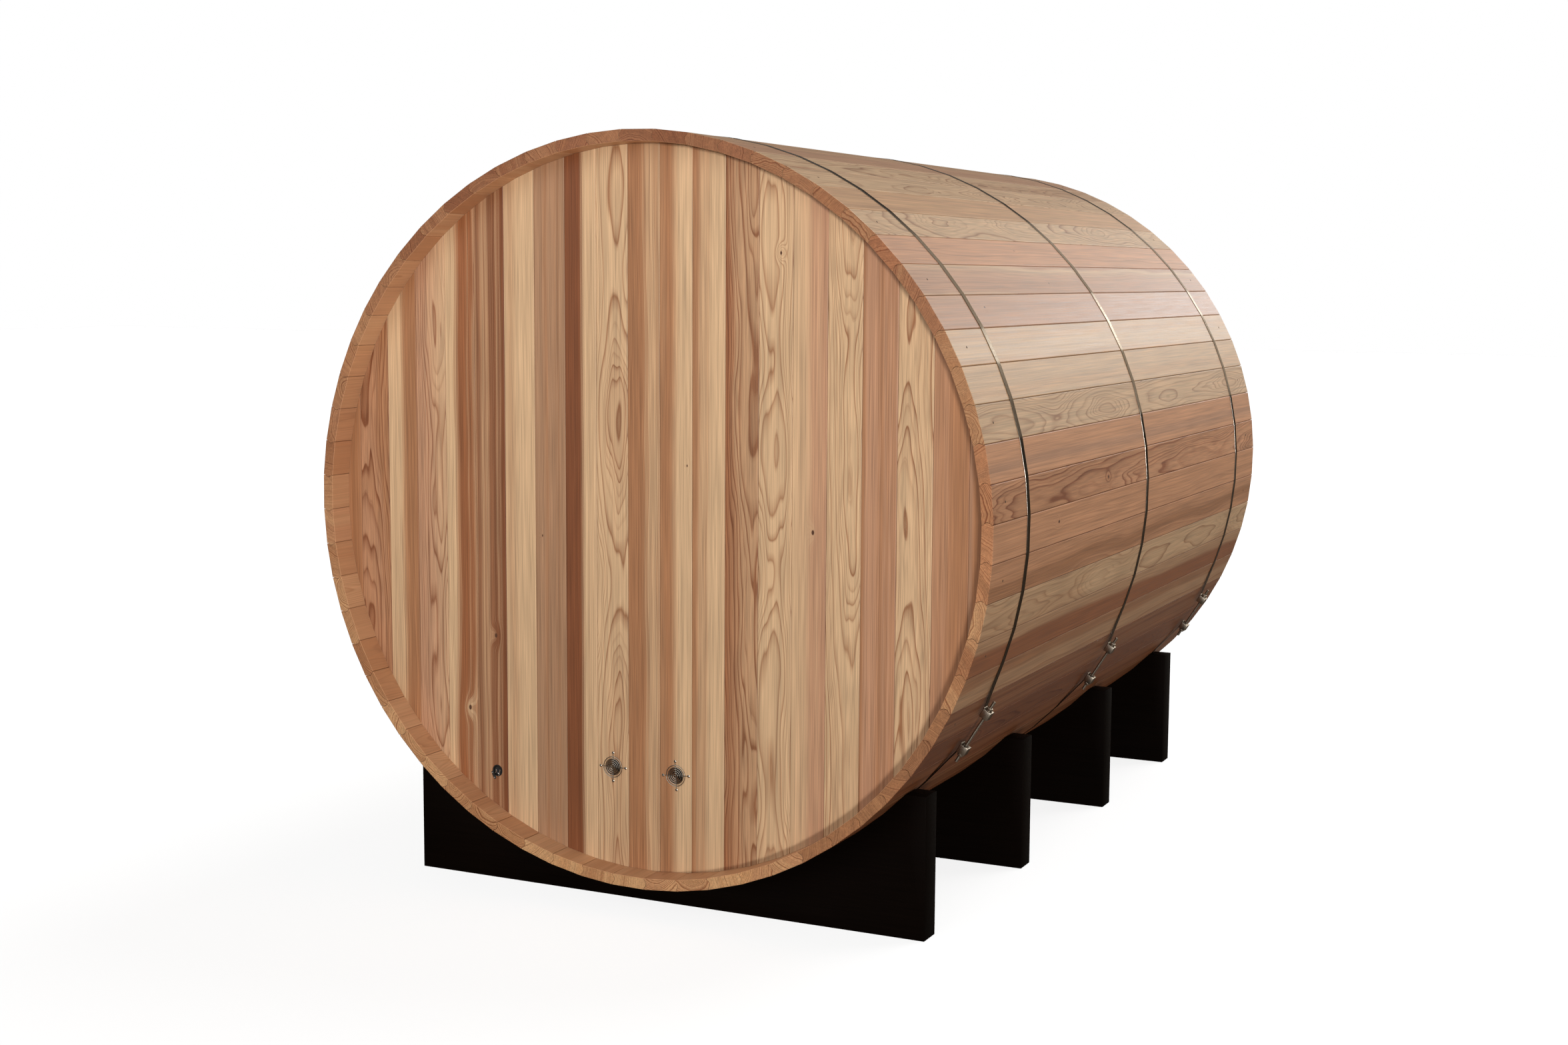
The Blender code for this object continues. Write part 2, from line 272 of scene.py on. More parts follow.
def milled_stave():
    """A stave lying at the very top of the drum."""
    outer = axis_height + outer_flat
    inner = axis_height + inner_flat
    middle = (outer + inner) / 2
    size = (2 * outer_half, barrel_length - end_trim, stave_thickness)
    stave = block_of("milled_stave", (0.0, 0.0, middle), size)
    edit(stave)
    choose("VERT", lambda corner: corner.co.z < middle)
    bpy.ops.transform.resize(
        value=(inner_half / outer_half, 1.0, 1.0), center_override=(0.0, 0.0, inner)
    )
    choose("EDGE", lambda edge: middle_of(edge).z > outer - hair)
    bpy.ops.mesh.bevel(offset=outer_ease, segments=2, affect="EDGES")
    choose("EDGE", lambda edge: middle_of(edge).z < inner + hair)
    bpy.ops.mesh.bevel(offset=inner_ease, segments=1, affect="EDGES")
    top, bottom = outer - outer_land, inner + inner_land
    chord = top - bottom
    bend = (chord * chord / 4 + bead_rise * bead_rise) / (2 * bead_rise)
    levels = [top - chord * row / bead_rows for row in range(bead_rows + 1)]
    for level in levels:
        choose("FACE", lambda face: True)
        bpy.ops.mesh.bisect(plane_co=(0.0, 0.0, level), plane_no=(0.0, 0.0, 1.0))
    tilt = math.tan(stave_turn / 2)
    for level in levels[1:-1]:
        reach = bend * bend - (level - (top + bottom) / 2) ** 2
        rise = math.sqrt(reach) - (bend - bead_rise)
        for side in (-1, 1):
            choose("VERT", lambda corner: (
                abs(corner.co.z - level) < hair and corner.co.x * side > 0))
            bpy.ops.transform.translate(value=(-rise, 0.0, side * rise * tilt))
    done()
    shade(stave, 18)
    return stave


# Cedar tones, from sapwood to the darkest heartwood. The darkest are also used as painted shade
# on the staves low on the drum.
cedar_tones = {
    "cream": (0.600, 0.392, 0.222),
    "honey": (0.560, 0.325, 0.165),
    "tan": (0.470, 0.268, 0.142),
    "rose": (0.470, 0.248, 0.140),
    "amber": (0.580, 0.290, 0.150),
    "grey": (0.372, 0.205, 0.112),
    "brown": (0.360, 0.163, 0.072),
    "russet": (0.300, 0.108, 0.040),
    "dark": (0.200, 0.064, 0.022),
}
# How a plank was sawn: how far the pith lies to the side and behind its face,
# how much the log tapers, the width of a year's growth, how much the log
# wanders, how strongly late wood shows, and how much one year differs in tone.
cedar_cuts = {
    "cathedral": (0.018, 0.070, 0.026, 0.0038, 0.0050, 1.25, 0.25),
    "eye": (0.008, 0.055, 0.008, 0.0042, 0.0075, 1.10, 0.25),
    "flames": (0.030, 0.080, 0.030, 0.0052, 0.0040, 1.60, 0.30),
    "rift": (0.090, 0.075, 0.006, 0.0030, 0.0035, 0.60, 0.45),
    "quarter": (0.210, 0.030, 0.002, 0.0021, 0.0016, 0.55, 0.60),
    "plain": (0.150, 0.060, 0.006, 0.0030, 0.0030, 0.22, 0.12),
}
draw = random.Random(64)


def figure(piece, place, half_width, light, dark, cut, leans, knot=None):
    """Give a plank its own place in a log, its tones and its knot.

    place turns the mesh's points into distances across, out of and along the plank.
    leans say how dark the wood is at its two edges, from about 0 to 1.
    """
    side, back, taper, year, wander, late, stripe = cedar_cuts[cut]
    count = len(piece.data.vertices)
    points = np.zeros(count * 3)
    piece.data.vertices.foreach_get("co", points)
    across, out, length = place(points.reshape(-1, 3))
    hand = draw.choice((-1, 1))
    side *= hand * draw.uniform(0.75, 1.25)
    back *= draw.uniform(0.85, 1.2)
    taper *= draw.choice((-1, 1)) * draw.uniform(0.7, 1.3)
    year *= draw.uniform(0.85, 1.2)
    log = draw.uniform(0.0, 40.0)
    grain = np.stack((across - side, out + back + taper * length, length + log), 1)
    share = np.clip((across / half_width + 1) / 2, 0, 1)
    lean = leans[0] + (leans[1] - leans[0]) * share
    plain = np.ones(count)
    sawn = np.stack((plain * year, plain * wander, lean), 1)
    strength = np.stack((plain * log, plain * late, plain * stripe), 1)
    if knot is None:
        knot = (0.0, -9.0, 0.0)
    branch = np.stack((across - knot[0], length - knot[1], plain * knot[2]), 1)
    for name, values in (
        ("grain", grain),
        ("sawn", sawn),
        ("plank", strength),
        ("branch", branch),
        ("light_tone", np.tile(cedar_tones[light], (count, 1))),
        ("dark_tone", np.tile(cedar_tones[dark], (count, 1))),
    ):
        layer = piece.data.attributes.get(name)
        if layer is None:
            layer = piece.data.attributes.new(name, "FLOAT_VECTOR", "POINT")
        layer.data.foreach_set("vector", values.astype(np.float32).ravel())


def maths(tree, operation, *values, clamp=False):
    """One sum with plain numbers."""
    return add(
        tree, "ShaderNodeMath", *values, operation=operation, use_clamp=clamp
    ).outputs[0]


def vector_maths(tree, operation, *values):
    """One sum with three numbers at a time."""
    return add(tree, "ShaderNodeVectorMath", *values, operation=operation).outputs[0]


def parts_of(tree, name):
    """The three numbers that a plank carries under a name."""
    held = add(tree, "ShaderNodeAttribute", attribute_name=name).outputs["Vector"]
    return held, add(tree, "ShaderNodeSeparateXYZ", held).outputs


def noise(tree, spot, detail=1.0, roughness=0.5):
    """Cloudy noise at a place."""
    made = add(tree, "ShaderNodeTexNoise", noise_dimensions="3D")
    feed(tree, made.inputs["Vector"], spot)
    made.inputs["Scale"].default_value = 1.0
    made.inputs["Detail"].default_value = detail
    made.inputs["Roughness"].default_value = roughness
    return made.outputs["Fac"]


def pattern(tree, stretch, detail, roughness=0.5):
    """Cloudy noise through the whole piece, stretched by three numbers."""
    spot = add(tree, "ShaderNodeTexCoord").outputs["Object"]
    spot = vector_maths(tree, "MULTIPLY", spot, stretch)
    return noise(tree, spot, detail, roughness)


def swing(tree, value, amount, level):
    """A level moved up and down by a noise that lies about a half."""
    return maths(tree, "MULTIPLY_ADD", maths(tree, "SUBTRACT", value, 0.5), amount, level)


def noise_on_line(tree, spot):
    """Smooth noise along a line."""
    made = add(tree, "ShaderNodeTexNoise", noise_dimensions="1D")
    feed(tree, made.inputs["W"], spot)
    made.inputs["Scale"].default_value = 1.0
    made.inputs["Detail"].default_value = 0.0
    return made.outputs["Fac"]


def blend_colours(tree, share, first, second):
    """One colour passing into another."""
    made = tree.nodes.new("ShaderNodeMix")
    made.data_type = "RGBA"
    feed(tree, made.inputs[0], share)
    feed(tree, made.inputs[6], first)
    feed(tree, made.inputs[7], second)
    return made.outputs[2]


def ramp(tree, value, stops):
    """A level read off a line of stops."""
    made = add(tree, "ShaderNodeValToRGB", value)
    line = made.color_ramp
    while len(line.elements) < len(stops):
        line.elements.new(0.5)
    for element, (spot, level) in zip(line.elements, stops):
        element.position = spot
        element.color = (level, level, level, 1.0)
    return made.outputs[0]


def new_finish(name):
    """A material, its node tree and its main shader."""
    finish = bpy.data.materials.new(name)
    finish.use_nodes = True
    return finish, finish.node_tree, finish.node_tree.nodes["Principled BSDF"]


def emboss(tree, shader, height, strength, distance):
    """Raise the surface by a pattern."""
    raised = add(tree, "ShaderNodeBump")
    raised.inputs["Strength"].default_value = strength
    raised.inputs["Distance"].default_value = distance
    feed(tree, raised.inputs["Height"], height)
    feed(tree, shader.inputs["Normal"], raised.outputs[0])


def cedar(name, end_direction, paint_inner_glow=False):
    """Planed cedar: growth rings right through each plank, with its long faces
    showing them as lines and arches and its ends as arcs of darker end grain.
    End grain carries painted light and shade, warmer and brighter low down and darker and greyer
    higher up, and faces turned to the axis carry a painted orange glow of bounced light."""
    finish, tree, shader = new_finish(name)
    grain, (across, out, length) = parts_of(tree, "grain")
    year, wander, lean = parts_of(tree, "sawn")[1]
    log, late, stripe = parts_of(tree, "plank")[1]
    branch_across, branch_along, branch_size = parts_of(tree, "branch")[1]
    light = parts_of(tree, "light_tone")[0]
    dark = parts_of(tree, "dark_tone")[0]

    wander = maths(tree, "MULTIPLY", wander, 5.0)
    slow = vector_maths(tree, "MULTIPLY", grain, (7.0, 7.0, 2.4))
    across = swing(tree, noise(tree, slow, 0.0), wander, across)
    slow_length = maths(tree, "MULTIPLY", length, 2.4)
    out = swing(tree, noise_on_line(tree, slow_length), wander, out)
    from_pith = maths(tree, "SQRT", maths(
        tree, "MULTIPLY_ADD", across, across, maths(tree, "MULTIPLY", out, out)))

    short = maths(tree, "MULTIPLY", branch_along, 0.6)
    from_knot = maths(tree, "SQRT", maths(
        tree, "MULTIPLY_ADD", branch_across, branch_across,
        maths(tree, "MULTIPLY", short, short)))
    spread = maths(tree, "DIVIDE", from_knot, maths(tree, "MULTIPLY", branch_size, 1.5))
    swell = maths(tree, "EXPONENT", maths(
        tree, "MULTIPLY", maths(tree, "MULTIPLY", spread, spread), -1.0))
    swell = maths(tree, "MULTIPLY", swell, maths(tree, "MULTIPLY", branch_size, 1.8))
    from_pith = maths(tree, "ADD", from_pith, swell)

    fine = vector_maths(tree, "MULTIPLY", grain, (55.0, 55.0, 6.0))
    wobble = maths(tree, "SUBTRACT", noise(tree, fine, 0.0), 0.5)
    years = maths(tree, "MULTIPLY_ADD", wobble, 1.6, maths(tree, "DIVIDE", from_pith, year))
    slow_years = maths(tree, "MULTIPLY_ADD", years, 0.17, log)
    years = maths(tree, "MULTIPLY_ADD", noise_on_line(tree, slow_years), 4.0, years)
    season = maths(tree, "FRACT", years)
    ring = maths(tree, "MULTIPLY_ADD", log, 31.0, maths(tree, "FLOOR", years))
    weight = add(tree, "ShaderNodeTexWhiteNoise", noise_dimensions="1D")
    feed(tree, weight.inputs["W"], ring)
    weight = maths(tree, "MULTIPLY_ADD", weight.outputs["Value"], 0.75, 0.25)
    late_wood = ramp(tree, season, (
        (0.0, 0.30), (0.08, 0.0), (0.55, 0.06), (0.82, 0.55), (0.93, 1.0), (1.0, 0.30)))
    line = maths(tree, "MULTIPLY", late_wood, weight)

    zone = noise_on_line(tree, maths(tree, "MULTIPLY_ADD", years, 0.085, log))
    zone = swing(tree, zone, 1.3, lean)
    zone = maths(tree, "MULTIPLY_ADD", maths(tree, "SUBTRACT", weight, 0.62), stripe, zone)
    zone = ramp(tree, zone, ((0.0, 0.0), (0.25, 0.12), (0.75, 0.88), (1.0, 1.0)))
    colour = blend_colours(tree, zone, light, dark)
    normal = add(tree, "ShaderNodeNewGeometry").outputs["Normal"]
    facing = add(tree, "ShaderNodeVectorMath", normal, end_direction, operation="DOT_PRODUCT")
    end_grain = maths(tree, "GREATER_THAN", maths(
        tree, "ABSOLUTE", facing.outputs["Value"]), 0.7)
    sawn_tone = (0.54, 0.37, 0.21, 1.0)
    colour = blend_colours(tree, maths(tree, "MULTIPLY", end_grain, 0.35), colour, sawn_tone)

    lined = vector_maths(tree, "MULTIPLY", colour, (0.50, 0.34, 0.26))
    late = maths(tree, "ADD", end_grain, late)
    line = maths(tree, "MULTIPLY", line, late, clamp=True)
    colour = blend_colours(tree, line, colour, lined)

    fibres = vector_maths(tree, "MULTIPLY", grain, (620.0, 620.0, 7.0))
    fibre = noise(tree, fibres, 0.0)
    streaks = vector_maths(tree, "MULTIPLY", grain, (210.0, 210.0, 1.6))
    streak = noise(tree, streaks, 0.0)
    level = swing(tree, fibre, 0.55, 1.0)
    level = swing(tree, streak, 0.40, level)
    level = maths(tree, "MULTIPLY_ADD", wobble, 0.20, level)
    colour = add(tree, "ShaderNodeVectorMath", colour, operation="SCALE")
    feed(tree, colour.inputs["Scale"], level)
    colour = colour.outputs[0]

    core = maths(tree, "SUBTRACT", maths(tree, "MULTIPLY", branch_size, 0.42), from_knot)
    core = maths(tree, "DIVIDE", core, 0.0015, clamp=True)
    colour = blend_colours(tree, core, colour, (0.085, 0.032, 0.014, 1.0))

    # Painted light and shade on the end grain: warmer and brighter low down, darker and greyer
    # higher up, as the light falls on the rim.
    spot = add(tree, "ShaderNodeTexCoord").outputs["Object"]
    height = add(tree, "ShaderNodeSeparateXYZ", spot).outputs["Z"]
    end_height_shade = vector_maths(tree, "MULTIPLY_ADD", height, (-0.30, -0.32, -0.27), (1.12, 0.97, 0.80))
    shaded_end_grain = vector_maths(tree, "MULTIPLY", colour, end_height_shade)
    colour = blend_colours(tree, end_grain, colour, shaded_end_grain)
    # Painted bounce light: faces turned to the axis, the staves' inner faces in the recess by
    # the rim, are blended towards a bright orange glow.
    if paint_inner_glow:
        outward = vector_maths(tree, "MULTIPLY_ADD", spot, (1.0, 0.0, 1.0), -axis)
        inside = add(tree, "ShaderNodeVectorMath", normal, outward, operation="DOT_PRODUCT")
        inside = maths(tree, "LESS_THAN", inside.outputs["Value"], -0.5)
        inside = maths(tree, "MULTIPLY", inside, 0.45)
        colour = blend_colours(tree, inside, colour, (0.95, 0.50, 0.26, 1.0))
    feed(tree, shader.inputs["Base Color"], colour)

    gloss = maths(tree, "MULTIPLY_ADD", fibre, 0.12, 0.40)
    feed(tree, shader.inputs["Roughness"], maths(
        tree, "MULTIPLY_ADD", end_grain, 0.2, gloss))
    shader.inputs["Specular IOR Level"].default_value = 0.38
    emboss(tree, shader, fibre, 0.25, 0.0005)
    return finish


# The staves on the lit side, numbered round from the level of the axis: the light and dark tone,
# the cut, how dark each edge is, and a knot's place.
# The staves low on the drum, from about -4 down, get brown, russet and dark tones that are
# partly the wood's own and partly painted shade for the underside.
known_staves = {
    12: ("tan", "rose", "plain", (0.5, 0.5), None),
    11: ("cream", "tan", "cathedral", (0.1, 0.2), None),
    10: ("cream", "tan", "eye", (0.0, -0.1), (0.01, -0.45, 0.006)),
    9: ("honey", "rose", "plain", (0.1, 0.1), None),
    8: ("cream", "tan", "cathedral", (0.1, 0.1), None),
    7: ("amber", "rose", "rift", (0.1, 0.2), (-0.008, -0.38, 0.006)),
    6: ("cream", "rose", "rift", (0.8, 0.7), (0.012, -0.31, 0.007)),
    5: ("honey", "rose", "plain", (0.9, 1.0), (-0.010, -0.89, 0.008)),
    4: ("cream", "honey", "plain", (0.1, 0.2), None),
    3: ("cream", "honey", "plain", (0.1, 0.2), None),
    2: ("cream", "tan", "eye", (-0.1, 0.1), None),
    1: ("amber", "rose", "plain", (0.2, 0.2), None),
    0: ("amber", "brown", "flames", (0.0, 0.1), (0.009, -0.36, 0.009)),
    -1: ("amber", "brown", "rift", (0.1, 0.0), (-0.006, -0.76, 0.010)),
    -2: ("amber", "brown", "rift", (0.3, 0.4), None),
    -3: ("cream", "brown", "eye", (0.2, 0.4), None),
    -4: ("tan", "russet", "rift", (0.1, 1.2), None),
    -5: ("tan", "brown", "rift", (0.8, 0.0), None),
    -6: ("brown", "dark", "quarter", (0.6, 0.6), None),
    -7: ("russet", "dark", "cathedral", (0.8, 0.9), None),
    -8: ("russet", "dark", "rift", (0.7, 0.6), None),
    -9: ("brown", "dark", "quarter", (0.8, 0.6), None),
    -10: ("russet", "dark", "rift", (0.5, 0.7), None),
    -11: ("russet", "dark", "rift", (0.4, 0.6), None),
}
stave_kinds = (
    ("cream", "tan"), ("cream", "honey"), ("cream", "rose"), ("honey", "rose"),
    ("tan", "brown"), ("rose", "brown"), ("tan", "rose"), ("cream", "brown"),
    ("brown", "russet"),
)


def any_plank(kinds):
    """The look of a plank that is like the others."""
    light, dark = draw.choice(kinds)
    cut = draw.choice(("cathedral", "eye", "rift", "quarter", "rift"))
    lean = draw.uniform(0.1, 0.8)
    knot = None
    if draw.random() < 0.3:
        knot = (draw.uniform(-0.025, 0.025), draw.uniform(-0.9, 0.9), draw.uniform(0.005, 0.010))
    return light, dark, cut, (lean, lean + draw.uniform(-0.5, 0.5)), knot


def on_stave(points):
    """Across, out of and along a stave at the top of the drum."""
    return points[:, 0], points[:, 2] - axis_height - outer_flat, points[:, 1]


stave_cedar = cedar("stave_cedar", (0.0, 1.0, 0.0), paint_inner_glow=True)
master_stave = milled_stave()
for pair in range(stave_count // 2):
    halves = []
    for number in (2 * pair, 2 * pair + 1):
        stave = copy_of(master_stave, "stave_{:02d}".format(number + 1))
        lit_number = number if number <= 12 else number - stave_count
        look = known_staves.get(lit_number) or any_plank(stave_kinds)
        figure(stave, on_stave, outer_half, *look)
        angle = first_joint + (number + 0.5) * stave_turn
        slip = Matrix.Translation((0.0, draw.uniform(-0.5, 0.5) * end_trim, 0.0))
        turn = Matrix.Rotation(math.pi / 2 - angle, 4, "Y")
        to_axis = Matrix.Translation(axis)
        stave.data.transform(to_axis @ turn @ to_axis.inverted() @ slip)
        stave.data.materials.append(stave_cedar)
        halves.append(stave)
    staves = join("stave_pair_{:02d}".format(pair + 1), halves)
    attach(staves, "root")
    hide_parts("stave_panel_{:02d}".format(pair + 1))
bpy.data.objects.remove(master_stave)

# ------------------------------------
# The end walls. Each is a row of upright tongue-and-groove cedar boards, 38 mm
# thick, with a fine V at every joint. The wall is sawn round to fit inside the
# staves. The rear one is drilled for two vents and for the heater's cable.
# ------------------------------------
board_pitch = 0.0872
board_joint = 0.0370
board_gap = 0.0005
board_ease = 0.0013
wall_thickness = wall_high.y - wall_low.y
wall_fit = 0.0003
board_half = (board_pitch - board_gap) / 2
vent_boards = (
    Vector((board_joint - 1.5 * board_pitch, 0.0, 0.345)),
    Vector((board_joint + 0.5 * board_pitch, 0.0, 0.342)),
)
vent_hole = 0.042
port_low, port_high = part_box("cable_port_gland")
port_spot = (port_low + port_high) / 2
port_hole = 0.030
holes = ((vent_boards[0], vent_hole), (vent_boards[1], vent_hole), (port_spot, port_hole))
rear_face = wall_low.y
middle_board = 11
drill_sides = 56
wall_cedar = cedar("wall_board_cedar", (0.0, 0.0, 1.0))

rear_boards = (
    ("rose", "brown", "quarter", (0.8, 0.9), None),
    ("rose", "brown", "flames", (0.5, 0.6), None),
    ("cream", "brown", "rift", (-0.2, 1.3), None),
    ("cream", "rose", "cathedral", (1.0, 0.4), None),
    ("cream", "russet", "rift", (0.0, 0.9), (0.020, -0.52, 0.011)),
    ("tan", "dark", "quarter", (0.0, 1.2), (0.012, -0.33, 0.010)),
    ("cream", "tan", "plain", (0.2, 0.0), None),
    ("grey", "brown", "quarter", (0.1, 0.0), (-0.024, -0.07, 0.006)),
    ("cream", "dark", "quarter", (2.8, -1.2), None),
    ("cream", "tan", "eye", (0.0, 0.1), None),
    ("cream", "brown", "rift", (1.1, 0.3), None),
    ("cream", "brown", "plain", (1.0, -0.6), (0.030, 0.12, 0.006)),
    ("cream", "brown", "plain", (0.9, -0.5), None),
    ("tan", "russet", "flames", (0.6, -0.5), None),
    ("cream", "tan", "eye", (0.1, 0.1), (0.012, 0.62, 0.008)),
    ("cream", "rose", "plain", (0.0, 1.0), (0.010, -0.02, 0.010)),
    ("cream", "tan", "cathedral", (-0.1, 0.0), None),
    ("rose", "brown", "quarter", (0.3, 0.4), None),
    ("cream", "tan", "cathedral", (0.1, 0.2), None),
    ("rose", "brown", "plain", (0.4, 0.9), None),
    ("rose", "brown", "quarter", (0.8, 0.8), None),
)


def sawn_board():
    """A wall board on the rear wall's middle line, longer than the drum is high."""
    middle = (0.0, (wall_low.y + wall_high.y) / 2, axis_height)
    board = block_of("sawn_board", middle, (2 * board_half, wall_thickness, 2 * barrel_radius))
    edit(board)
    choose("EDGE", lambda edge: along(edge, Vector((0, 0, 1))) > 0.9)
    bpy.ops.mesh.bevel(offset=board_ease, segments=2, affect="EDGES")
    done()
    return board


def fit_to_drum(board, left, right):
    """Saw the board's ends and outer edges to the flats inside the staves."""
    edit(board)
    reach = inner_flat - wall_fit
    for number in range(stave_count):
        angle = first_joint + (number + 0.5) * stave_turn
        near = reach * math.cos(angle)
        if near < left - board_pitch or near > right + board_pitch:
            continue
        outward = Vector((math.cos(angle), 0.0, math.sin(angle)))
        choose("FACE", lambda face: True)
        bpy.ops.mesh.bisect(
            plane_co=axis + outward * reach, plane_no=outward,
            use_fill=True, clear_outer=True,
        )
    done()


def drill(board, spot, diameter):
    """Bore a round hole through the wall."""
    bpy.ops.object.select_all(action="DESELECT")
    bpy.ops.mesh.primitive_cylinder_add(
        vertices=drill_sides, radius=diameter / 2, depth=4 * wall_thickness,
        location=(spot.x, rear_face, spot.z), rotation=(math.pi / 2, 0.0, 0.0),
    )
    bit = bpy.context.object
    bore(board, bit)


def bore(piece, bit):
    """Take the bit's shape out of a piece, and put the bit away."""
    cut = piece.modifiers.new("bore", "BOOLEAN")
    cut.operation = "DIFFERENCE"
    cut.object = bit
    pick(piece)
    bpy.ops.object.modifier_apply(modifier=cut.name)
    bpy.data.objects.remove(bit)


def boarded_wall(node, looks, drilled):
    """The boards of one end wall, from the left. The front wall is the rear one's
    shape turned half round, without its holes."""
    master = sawn_board()
    for number, look in enumerate(looks):
        left = board_joint + (number - middle_board) * board_pitch
        board = copy_of(master, "{}_board_{:02d}".format(node, number + 1))
        board.data.transform(Matrix.Translation((left + board_pitch / 2, 0.0, 0.0)))
        fit_to_drum(board, left, left + board_pitch)
        for spot, size in holes if drilled else ():
            if left < spot.x < left + board_pitch:
                drill(board, spot, size)
        shade(board, 20)

        def on_board(points):
            return (
                points[:, 0] - left - board_pitch / 2,
                rear_face - points[:, 1],
                points[:, 2] - axis_height,
            )

        figure(board, on_board, board_half, *look)
        if not drilled:
            board.data.transform(Matrix.Rotation(math.pi, 4, "Z"))
        board.data.materials.append(wall_cedar)
        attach(board, "root")
        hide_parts(node)
    bpy.data.objects.remove(master)


boarded_wall("rear_wall", rear_boards, drilled=True)
front_boards = [any_plank(stave_kinds[:-1]) for _ in rear_boards]
boarded_wall("front_wall", front_boards, drilled=False)

# ------------------------------------
# The vent guards. Each is a bright wire grille over a vent hole: five rings
# welded on two crossed wires, whose ends are turned into eyes for four small
# round-headed screws.
# ------------------------------------
guard_wire = 0.0018
guard_rings = (0.0255, 0.0202, 0.0156, 0.0110, 0.0064)
guard_reach = 0.0350
guard_eye = 0.0026
guard_turns = (0.0, math.radians(3.3))
screw_head = 0.0046
screw_rise = 0.0022
weld = 0.00005


def polished(name, colour, roughness, brushed=0.05, scratch=400.0):
    """Bright metal with faint rubbing marks and a little wear in its shine."""
    finish, tree, shader = new_finish(name)
    shader.inputs["Metallic"].default_value = 1.0
    shader.inputs["Specular Tint"].default_value = (0.50, 0.46, 0.42, 1.0)
    marks = pattern(tree, (scratch, 40.0, scratch), 3.0, 0.6)
    clouds = pattern(tree, (60.0,) * 3, 2.0)
    worn = vector_maths(tree, "MULTIPLY", (*colour,), (0.72, 0.70, 0.67))
    feed(tree, shader.inputs["Base Color"], blend_colours(
        tree, maths(tree, "MULTIPLY", clouds, 0.7), (*colour, 1.0), worn))
    feed(tree, shader.inputs["Roughness"], maths(
        tree, "MULTIPLY_ADD", marks, 0.22, roughness - 0.08))
    emboss(tree, shader, marks, brushed, 0.0002)
    return finish


def wire_loop(middle, radius, wire, steps, sides=8):
    """A ring of round wire lying against the wall."""
    bpy.ops.object.select_all(action="DESELECT")
    start = (middle[0] + radius, middle[1], middle[2])
    bpy.ops.mesh.primitive_circle_add(
        vertices=sides, radius=wire / 2, location=start
    )
    loop = bpy.context.object
    settle(loop)
    edit(loop)
    choose("VERT", lambda corner: True)
    bpy.ops.mesh.spin(
        steps=steps, angle=2 * math.pi, center=middle, axis=(0.0, 1.0, 0.0)
    )
    choose("VERT", lambda corner: True)
    bpy.ops.mesh.remove_doubles(threshold=weld)
    bpy.ops.mesh.normals_make_consistent(inside=False)
    done()
    return loop


def round_bar(middle, direction, radius, length, sides=10, ease=0.0):
    """A round bar lying along a direction, with its end edges eased."""
    bpy.ops.object.select_all(action="DESELECT")
    turn = Vector(direction).to_track_quat("Z", "Y").to_euler()
    bpy.ops.mesh.primitive_cylinder_add(
        vertices=sides, radius=radius, depth=length, location=middle, rotation=turn
    )
    bar = bpy.context.object
    settle(bar)
    if ease:
        edit(bar)
        run = Vector(direction).normalized()
        choose("FACE", lambda face: abs(face.normal.dot(run)) > 0.9)
        bpy.ops.mesh.bevel(offset=ease, segments=2, affect="EDGES")
        done()
    return bar


def screw_in_wall(spot, radius=screw_head / 2):
    """A small round screw head with a drive recess, its back against the wall."""
    middle = Vector(spot) + Vector((0.0, -screw_rise / 2, 0.0))
    head = round_bar(middle, (0.0, -1.0, 0.0), radius, screw_rise, 14)
    edit(head)
    choose("FACE", lambda face: face.normal.y < -0.9)
    bpy.ops.mesh.inset(thickness=radius * 0.35, depth=screw_rise * 0.3)
    bpy.ops.mesh.inset(thickness=radius * 0.22, depth=0.0)
    bpy.ops.mesh.inset(thickness=radius * 0.05, depth=-screw_rise * 0.35)
    done()
    return head


guard_steel = polished("guard_wire_steel", (0.40, 0.36, 0.31), 0.20)
for number, (vent, guard_turn) in enumerate(zip(vent_boards, guard_turns)):
    parts = []
    ring_level = rear_face - 1.35 * guard_wire
    wire_level = rear_face - 0.5 * guard_wire
    for radius in guard_rings:
        middle = (vent.x, ring_level, vent.z)
        steps = 16 + round(700 * radius)
        parts.append(wire_loop(middle, radius, guard_wire, steps))
    for quarter in range(2):
        angle = guard_turn + quarter * math.pi / 2
        run = Vector((math.cos(angle), 0.0, math.sin(angle)))
        middle = Vector((vent.x, wire_level, vent.z))
        parts.append(round_bar(middle, run, guard_wire / 2, 2 * (guard_reach - guard_eye)))
        for end in (-1, 1):
            eye = middle + run * end * guard_reach
            parts.append(wire_loop(eye, guard_eye, guard_wire * 0.9, 16, 6))
            parts.append(screw_in_wall((eye.x, wire_level, eye.z)))
    guard = join("vent_guard_wires_{}".format(number + 1), parts)
    shade(guard)
    guard.data.materials.append(guard_steel)
    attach(guard, "root")
    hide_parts("vent_guard_{}".format(number + 1))

# ------------------------------------
# The cable port. A black rubber gland fills the bored hole, a little below the
# face of the boards. Bent metal ends stand out of it, and a dark tab with two
# small screws holds it at the lower left.
# ------------------------------------
tab_size = (0.0210, 0.0012, 0.0070)
tab_offset = (-0.0105, -0.0008, -0.0120)
tab_turn = math.radians(-64)
tab_screw = 0.0021


def rubber(name):
    """Dull black rubber with a fine moulded grain."""
    finish, tree, shader = new_finish(name)
    grit = pattern(tree, (900.0,) * 3, 2.0)
    feed(tree, shader.inputs["Base Color"], blend_colours(
        tree, grit, (0.004, 0.004, 0.004, 1.0), (0.016, 0.014, 0.012, 1.0)))
    feed(tree, shader.inputs["Roughness"], maths(tree, "MULTIPLY_ADD", grit, 0.3, 0.35))
    emboss(tree, shader, grit, 0.2, 0.0003)
    return finish


